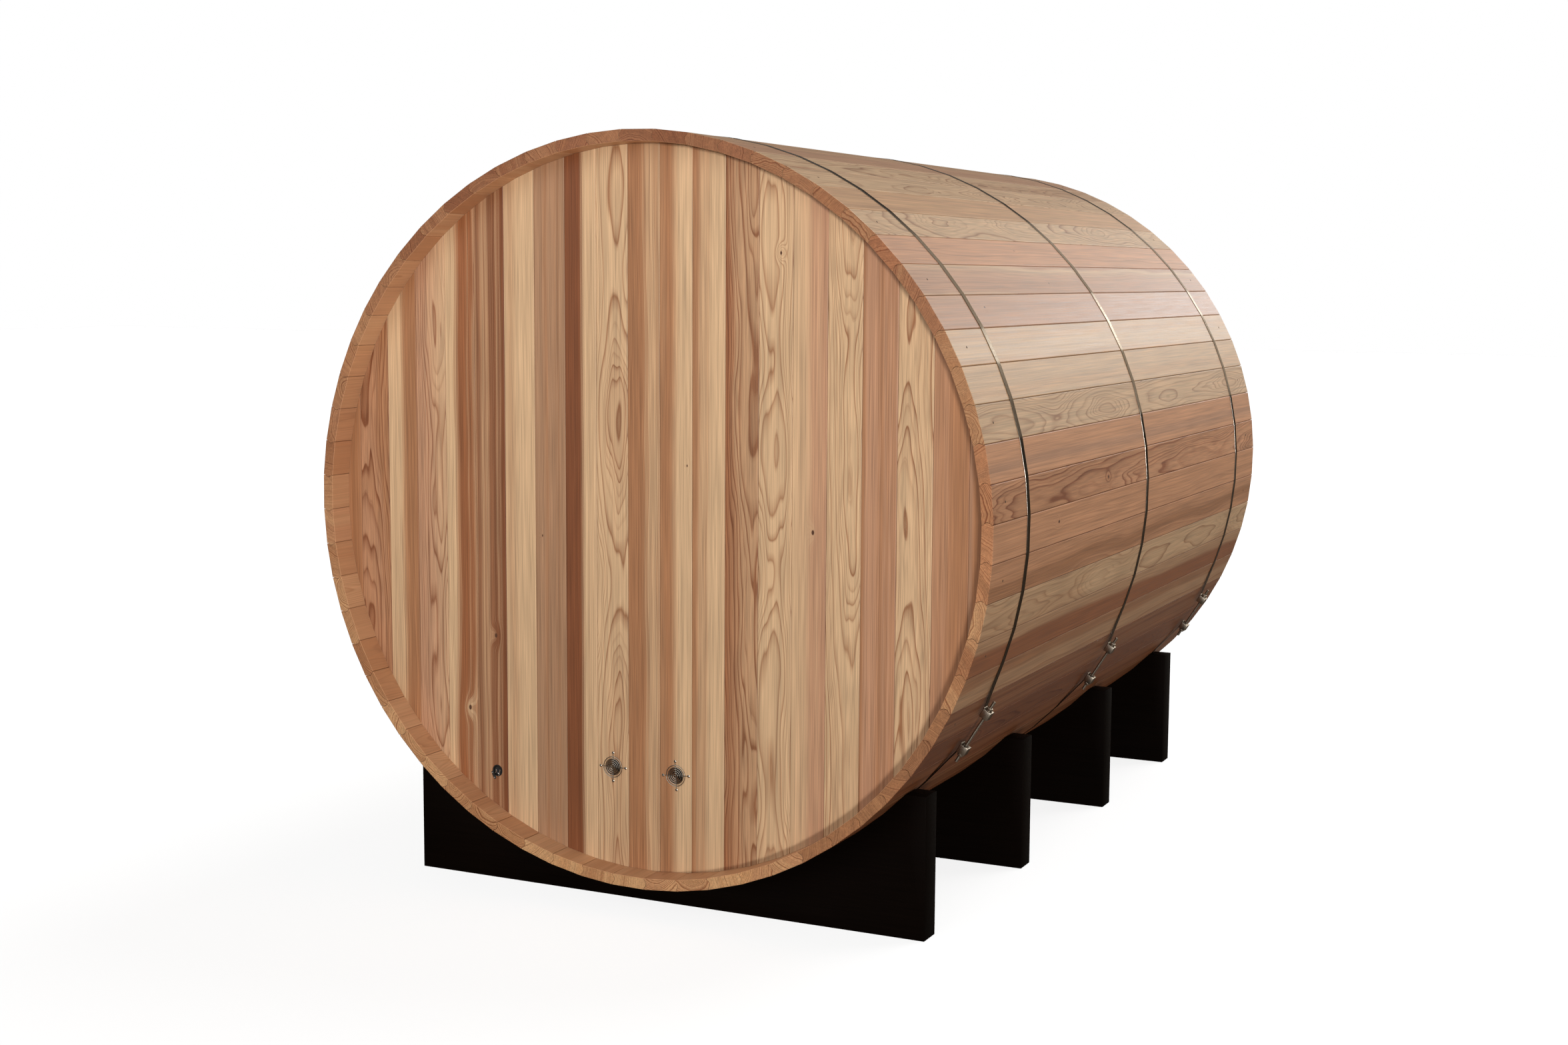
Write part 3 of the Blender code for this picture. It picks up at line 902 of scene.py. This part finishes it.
gland_radius = (port_high.x - port_low.x) / 2
gland_depth = port_high.y - port_low.y
gland = round_bar(port_spot, (0.0, -1.0, 0.0), gland_radius, gland_depth, 40)
edit(gland)
choose("FACE", lambda face: face.normal.y < -0.9)
bpy.ops.mesh.inset(thickness=0.0022, depth=0.0)
bpy.ops.mesh.inset(thickness=0.0016, depth=-0.0045)
bpy.ops.mesh.inset(thickness=0.0030, depth=-0.0010)
done()
tab_middle = Vector((port_spot.x, rear_face, port_spot.z)) + Vector(tab_offset)
tab = block_of("port_tab", tab_middle, tab_size)
edit(tab)
choose("EDGE", lambda edge: along(edge, Vector((0, 1, 0))) > 0.9)
bpy.ops.mesh.bevel(offset=0.0020, segments=3, affect="EDGES")
choose("FACE", lambda face: True)
bpy.ops.transform.rotate(
    value=tab_turn, orient_axis="Y", orient_type="GLOBAL", center_override=tab_middle
)
done()
gland = join("cable_port_rubber", [gland, tab])
shade(gland)
gland.data.materials.append(rubber("port_rubber"))
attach(gland, "root")
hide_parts("cable_port_gland")


def bent_end(middle, radius, start_deg, sweep_deg, wire=0.0021):
    """A short bent piece of bright round metal, in the plane of the wall."""
    bpy.ops.object.select_all(action="DESELECT")
    bpy.ops.mesh.primitive_circle_add(
        vertices=10, radius=wire / 2, fill_type="NGON",
        location=(middle[0] + radius, middle[1], middle[2]),
    )
    bend = bpy.context.object
    settle(bend)
    edit(bend)
    choose("VERT", lambda corner: True)
    bpy.ops.mesh.spin(
        steps=10, angle=math.radians(sweep_deg), center=middle, axis=(0.0, -1.0, 0.0)
    )
    choose("VERT", lambda corner: True)
    bpy.ops.transform.rotate(
        value=math.radians(start_deg), orient_axis="Y", orient_type="GLOBAL",
        center_override=middle,
    )
    bpy.ops.mesh.remove_doubles(threshold=weld)
    bpy.ops.mesh.normals_make_consistent(inside=False)
    done()
    return bend


def near_port(across, up, back=0.0010):
    """A place by the middle of the port, a little behind the boards' face."""
    return (port_spot.x + across, rear_face + back, port_spot.z + up)


port_metal = join("cable_port_metal", [
    bent_end(near_port(-0.0120, 0.0), 0.0080, 20, 75),
    bent_end(near_port(-0.0010, 0.0), 0.0080, 20, 70),
    bent_end(near_port(0.0015, -0.0100), 0.0030, 120, 190),
    screw_in_wall(near_port(-0.0135, -0.0058, -0.0014), tab_screw),
    screw_in_wall(near_port(-0.0075, -0.0182, -0.0014), tab_screw),
])
shade(port_metal)
port_metal.data.materials.append(polished("port_metal_ends", (0.85, 0.84, 0.82), 0.16))
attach(port_metal, "root")

# ------------------------------------
# The cradles. Four planks on edge, stained black, carry the drum: the top of
# each is sawn to the drum's curve between two level horns, and where a band
# crosses, a shallow groove lets it through.
# ------------------------------------
cradle_ease = 0.0020
cradle_scoop = barrel_radius + 0.0003
groove_radius = barrel_radius + 0.0025
groove_clearance = 0.003
groove_reach = 0.013
round_sides = 192


def black_stain(name):
    """Flat-sawn timber under an even black stain, with the grain just showing."""
    finish, tree, shader = new_finish(name)
    grain = pattern(tree, (5.0, 160.0, 160.0), 4.0, 0.65)
    clouds = pattern(tree, (4.0,) * 3, 2.0)
    tone = maths(tree, "MULTIPLY_ADD", clouds, 0.5, maths(tree, "MULTIPLY", grain, 0.5))
    feed(tree, shader.inputs["Base Color"], blend_colours(
        tree, tone, (0.0006, 0.0004, 0.0003, 1.0), (0.0050, 0.0022, 0.0010, 1.0)))
    feed(tree, shader.inputs["Roughness"], maths(tree, "MULTIPLY_ADD", grain, 0.3, 0.40))
    shader.inputs["Specular IOR Level"].default_value = 0.03
    emboss(tree, shader, grain, 0.3, 0.0008)
    return finish


def ease_edges(piece, width, segments=2, limit_deg=30):
    """Round over every sharp edge."""
    ease = piece.modifiers.new("ease", "BEVEL")
    ease.width = width
    ease.segments = segments
    ease.limit_method = "ANGLE"
    ease.angle_limit = math.radians(limit_deg)
    ease.harden_normals = False
    pick(piece)
    bpy.ops.object.modifier_apply(modifier=ease.name)


cradle_black = black_stain("cradle_black_stain")
for number in range(1, 5):
    low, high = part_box("cradle_{}".format(number))
    plank = block_of("cradle_plank_{}".format(number), (low + high) / 2, high - low)
    scoop = round_bar(
        Vector((0.0, (low.y + high.y) / 2, axis_height)), (0.0, 1.0, 0.0),
        cradle_scoop, 2 * (high.y - low.y), round_sides,
    )
    bore(plank, scoop)
    for band in range(1, 4):
        band_low, band_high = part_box("band_{}".format(band))
        middle = (band_low.y + band_high.y) / 2
        if low.y - groove_reach < middle < high.y + groove_reach:
            groove = round_bar(
                Vector((0.0, middle, axis_height)), (0.0, 1.0, 0.0),
                groove_radius, band_high.y - band_low.y + groove_clearance, round_sides,
            )
            bore(plank, groove)
    ease_edges(plank, cradle_ease)
    shade(plank)
    plank.data.materials.append(cradle_black)
    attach(plank, "root")
    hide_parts("cradle_{}".format(number))

# ------------------------------------
# The bands. Three strips of stainless steel, 20 mm wide and 1 mm thick, are
# pulled round the drum. They bend a little over each stave's corner, and each
# end runs under its tension block and is folded up round it.
# ------------------------------------
band_thickness = 0.0010
band_width = 0.020
band_lift = 0.0003
band_bend = 0.0050
band_edge = 0.00025
fold_half = 0.0012
fold_rise = 0.0075
tension_angle = math.radians(-31.8)
tension_spread = math.radians(3.25)
block_size = 0.021
block_width = 0.026
block_standoff = 0.0068
block_middle = barrel_radius + block_standoff + block_size / 2
block_offset = block_middle * math.tan(tension_spread)
rod_run = Vector((-math.sin(tension_angle), 0.0, math.cos(tension_angle)))
rod_out = Vector((math.cos(tension_angle), 0.0, math.sin(tension_angle)))


def by_rod(outward, forward, y=0.0):
    """A place by the tensioner: out from the axis, and up along the rod."""
    return axis + rod_out * outward + rod_run * forward + Vector((0.0, y, 0.0))


def bent_strip(name, middle):
    """A band, bent from a strip that starts as an open ring of flats."""
    bpy.ops.object.select_all(action="DESELECT")
    radius = barrel_radius + band_lift
    bpy.ops.mesh.primitive_circle_add(
        vertices=stave_count, radius=radius, fill_type="NOTHING",
        location=(0.0, middle - band_width / 2, axis_height),
        rotation=(math.pi / 2, 0.0, 0.0),
    )
    strip = bpy.context.object
    settle(strip)
    corner = strip.data.vertices[0].co - axis
    off = math.atan2(corner.z, corner.x) - first_joint
    place = Matrix.Translation(axis) @ Matrix.Rotation(off, 4, "Y") @ Matrix.Translation(-axis)
    strip.data.transform(place)
    under = barrel_radius + block_standoff - band_lift - band_thickness
    far = block_offset + block_size / 2
    near = block_offset - block_size / 2
    edit(strip)

    def in_the_gap(point):
        angle = math.atan2(point.co.z - axis_height, point.co.x)
        return abs(angle - tension_angle) < math.atan2(far, under) + math.radians(3.5)

    choose("VERT", in_the_gap)
    bpy.ops.mesh.delete(type="VERT")
    for side in (1, -1):
        stops = [
            by_rod(under, side * far),
            by_rod(under, side * (near + fold_half)),
            by_rod(under + band_thickness, side * (near - fold_half)),
            by_rod(under + fold_rise, side * (near - fold_half)),
        ]
        for stop in stops:
            tip = Vector((stop.x, middle - band_width / 2, stop.z))
            shape = bmesh.from_edit_mesh(strip.data)
            ends = [v for v in shape.verts if len(v.link_edges) == 1]
            last = max(ends, key=lambda v: side * (v.co - axis).dot(rod_run))
            spot = last.co.copy()
            choose("VERT", lambda point: (point.co - spot).length < hair)
            bpy.ops.mesh.extrude_region_move(
                TRANSFORM_OT_translate={"value": tip - spot}
            )
    choose("VERT", lambda point: True)
    bpy.ops.mesh.extrude_region_move(TRANSFORM_OT_translate={"value": (0.0, band_width, 0.0)})
    on_drum = barrel_radius + band_thickness
    choose("EDGE", lambda edge: (
        along(edge, Vector((0, 1, 0))) > 0.9 and len(edge.link_faces) == 2
        and (middle_of(edge) - axis).xz.length < on_drum))
    bpy.ops.mesh.bevel(offset=band_bend, segments=3, affect="EDGES")
    choose("FACE", lambda face: True)
    bpy.ops.mesh.normals_make_consistent(inside=False)
    done()
    faces = strip.data.polygons
    facing = sum(face.normal.dot(face.center - axis) * face.area for face in faces)
    if facing < 0:
        strip.data.flip_normals()
    thick = strip.modifiers.new("thickness", "SOLIDIFY")
    thick.thickness = band_thickness
    thick.offset = 1.0
    thick.use_even_offset = True
    bpy.ops.object.modifier_apply(modifier=thick.name)
    strip.name = name
    strip.data.name = name
    ease_edges(strip, band_edge, 2, 50)
    shade(strip, 12)
    return strip


band_steel = polished("band_steel", (0.134, 0.120, 0.106), 0.14, 0.02, 300.0)
for number in range(1, 4):
    low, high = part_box("band_{}".format(number))
    strip = bent_strip("steel_band_{}".format(number), (low.y + high.y) / 2)
    strip.data.materials.append(band_steel)
    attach(strip, "root")
    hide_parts("band_{}".format(number))

# ------------------------------------
# The tensioners. A threaded rod passes through two square steel blocks, and a
# nut and washer outside each block draw the two ends of the band together. A
# rolled lip of the band's end sits at the upper inner edge of each block.
# ------------------------------------
rod_diameter = 0.0075
rod_past = 0.036
thread_pitch = 0.00125
nut_flats = 0.0130
nut_height = 0.0065
washer_diameter = 0.0170
washer_thickness = 0.0016
lip_radius = 0.0026
washer_ease, lip_ease = 0.0003, 0.0004
block_ease, nut_ease = 0.0007, 0.0009
rod_clearance = 0.0003


def threaded_rod(name, y):
    """One turn of thread, repeated along the rod, with both ends closed."""
    length = 2 * (block_offset + rod_past)
    turns = round(length / thread_pitch)
    pitch = length / turns
    bpy.ops.object.select_all(action="DESELECT")
    bpy.ops.mesh.primitive_cylinder_add(
        vertices=14, radius=rod_diameter / 2 * 0.91, depth=pitch,
        end_fill_type="NOTHING", location=(0.0, 0.0, pitch / 2),
    )
    rod = bpy.context.object
    settle(rod)
    edit(rod)
    choose("FACE", lambda face: True)
    bpy.ops.mesh.bisect(plane_co=(0.0, 0.0, pitch / 2), plane_no=(0.0, 0.0, 1.0))
    choose("VERT", lambda point: abs(point.co.z - pitch / 2) < pitch / 8)
    bpy.ops.transform.resize(
        value=(1.1, 1.1, 1.0), center_override=(0.0, 0.0, pitch / 2)
    )
    done()
    row = rod.modifiers.new("turns", "ARRAY")
    row.count = turns
    row.use_relative_offset = False
    row.use_constant_offset = True
    row.constant_offset_displace = (0.0, 0.0, pitch)
    row.use_merge_vertices = True
    row.merge_threshold = weld
    bpy.ops.object.modifier_apply(modifier=row.name)
    edit(rod)
    choose("EDGE", lambda edge: len(edge.link_faces) == 1)
    bpy.ops.mesh.fill_holes(sides=0)
    choose("FACE", lambda face: abs(face.normal.z) > 0.95 and len(face.verts) > 6)
    bpy.ops.mesh.inset(thickness=0.0006, depth=0.0004)
    choose("FACE", lambda face: True)
    bpy.ops.mesh.normals_make_consistent(inside=False)
    done()
    turn = rod_run.to_track_quat("Z", "Y").to_matrix().to_4x4()
    start = by_rod(block_middle, -length / 2, y)
    rod.data.transform(Matrix.Translation(start) @ turn)
    rod.name = name
    rod.data.name = name
    return rod


def nut_and_washer(y, side):
    """The washer against a block, and the nut on it."""
    face = side * (block_offset + block_size / 2)
    washer = round_bar(
        by_rod(block_middle, face + side * washer_thickness / 2, y), rod_run,
        washer_diameter / 2, washer_thickness, 28, washer_ease,
    )
    seat = face + side * (washer_thickness + nut_height / 2)
    nut = round_bar(
        by_rod(block_middle, seat, y), rod_run, nut_flats / math.sqrt(3), nut_height, 6,
    )
    ease_edges(nut, nut_ease, 2, 20)
    return [washer, nut]


def tension_block(name, y, side):
    """A square block bored for the rod, with its edges dressed."""
    block = block_of(name, (0.0, 0.0, 0.0), (block_size, block_width, block_size))
    hole = round_bar(
        Vector((0.0, 0.0, 0.0)), (0.0, 0.0, 1.0), rod_diameter / 2 + rod_clearance,
        2 * block_size, 28,
    )
    bore(block, hole)
    ease_edges(block, block_ease)
    turn = Matrix.Rotation(-tension_angle, 4, "Y")
    spot = by_rod(block_middle, side * block_offset, y)
    block.data.transform(Matrix.Translation(spot) @ turn)
    return block


def rolled_lip(y, side):
    """The band's end, rolled up at the block's inner edge."""
    corner = by_rod(
        block_middle - block_size / 2 - 0.0002,
        side * block_offset + block_size / 2 + lip_radius * 0.6, y,
    )
    return round_bar(corner, (0.0, 1.0, 0.0), lip_radius, band_width, 16, lip_ease)


fixing_steel = polished("fixing_steel", (0.40, 0.35, 0.29), 0.26, 0.06, 500.0)
for number in range(1, 4):
    low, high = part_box("upper_tension_block_{}".format(number))
    y = (low.y + high.y) / 2
    for label, side in (("upper", 1), ("lower", -1)):
        block = tension_block("{}_block_{}".format(label, number), y, side)
        block = join("{}_clamp_block_{}".format(label, number), [block, rolled_lip(y, side)])
        shade(block)
        block.data.materials.append(fixing_steel)
        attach(block, "root")
        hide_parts("{}_tension_block_{}".format(label, number))
    rod = threaded_rod("rod_{}".format(number), y)
    rod = join("threaded_rod_{}".format(number), [
        rod, *nut_and_washer(y, 1), *nut_and_washer(y, -1)])
    shade(rod)
    rod.data.materials.append(fixing_steel)
    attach(rod, "root")
    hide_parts("tension_rod_{}".format(number))

# ------------------------------------
# The nails. Every second stave is nailed to the two end walls, one dark nail
# through the middle of its width at each end.
# ------------------------------------
nail_head = 0.0052
nail_rise = 0.0008
nail_from_rear, nail_from_front = 0.084, 0.094


def nail(angle, y):
    """A low round nail head on a stave's face."""
    outward = Vector((math.cos(angle), 0.0, math.sin(angle)))
    spot = axis + outward * (outer_flat + 0.0001) + Vector((0.0, y, 0.0))
    head = round_bar(spot, outward, nail_head / 2, nail_rise, 10)
    edit(head)
    choose("FACE", lambda face: face.normal.dot(outward) > 0.9)
    bpy.ops.mesh.inset(thickness=nail_head * 0.2, depth=0.0002)
    done()
    return head


def dark_nail_iron(name):
    """Nail iron dulled dark, in brown spots."""
    finish, tree, shader = new_finish(name)
    spots = pattern(tree, (700.0,) * 3, 2.0)
    feed(tree, shader.inputs["Base Color"], blend_colours(
        tree, spots, (0.05, 0.030, 0.018, 1.0), (0.20, 0.14, 0.10, 1.0)))
    shader.inputs["Metallic"].default_value = 0.6
    feed(tree, shader.inputs["Roughness"], maths(tree, "MULTIPLY_ADD", spots, 0.3, 0.40))
    return finish


heads = []
for number in range(0, stave_count, 2):
    middle = first_joint + (number + 0.5) * stave_turn
    heads.append(nail(middle, -barrel_length / 2 + nail_from_rear))
    heads.append(nail(middle, barrel_length / 2 - nail_from_front))
nails = join("stave_nails", heads)
shade(nails)
nails.data.materials.append(dark_nail_iron("nail_iron"))
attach(nails, "root")

bpy.context.view_layer.update()
